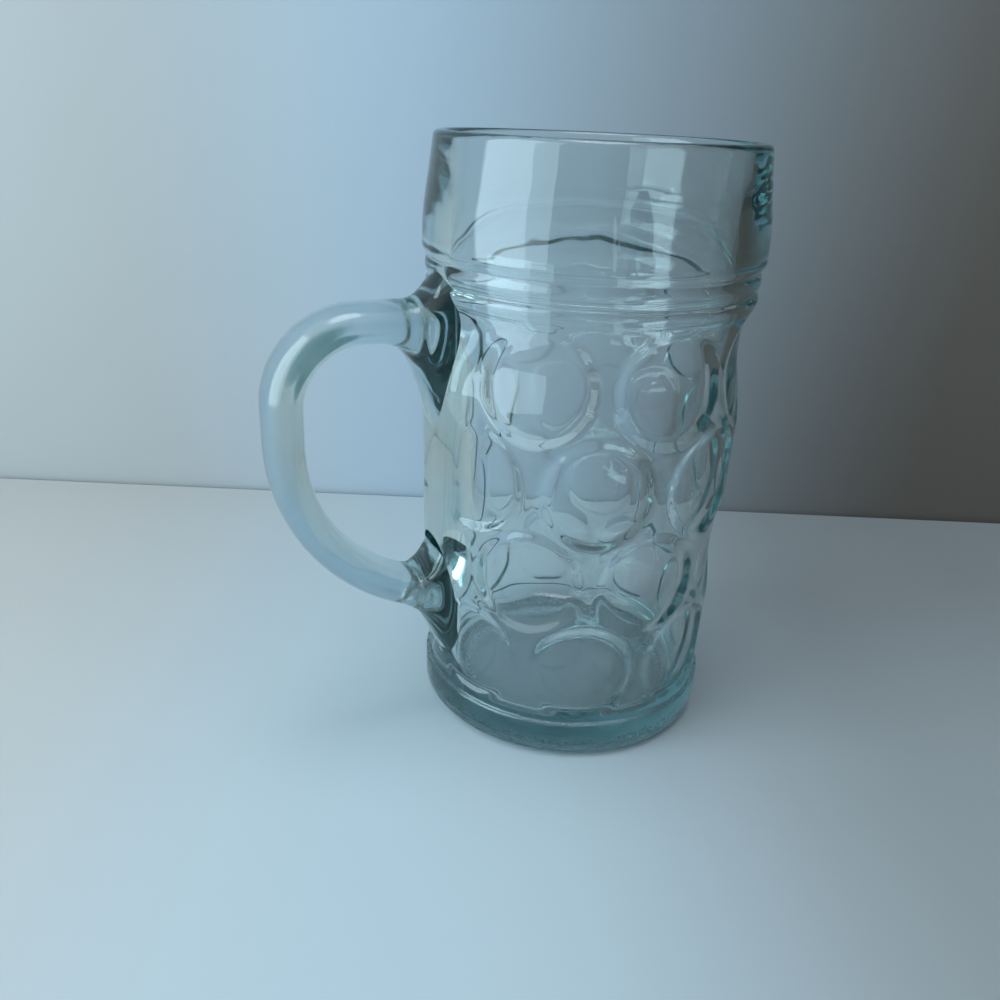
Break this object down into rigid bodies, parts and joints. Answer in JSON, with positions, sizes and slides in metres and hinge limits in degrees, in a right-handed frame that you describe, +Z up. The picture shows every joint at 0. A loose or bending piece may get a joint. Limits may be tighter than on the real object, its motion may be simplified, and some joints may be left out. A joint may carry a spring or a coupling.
{
  "type": "beer mug",
  "caption": "Clear glass beer mug: heavy bowl with staggered round dimples, a beaded ring under a smooth drinking band, and a loop handle fused to the side.",
  "frame": {"origin": "on the bowl's axis, in the plane of the bearing ring that the mug stands on", "axes": "+Z up along the bowl's axis towards the mouth, -X towards the handle, which lies in the XZ plane"},
  "size_m": [0.167, 0.1126, 0.2],
  "materials": {
    "clear_glass": "fire-polished clear soda-lime glass with a faint blue-green tint"
  },
  "bodies": {
    "root": {"glass_body": "clear_glass", "handle": "clear_glass"}
  },
  "joints": []
}
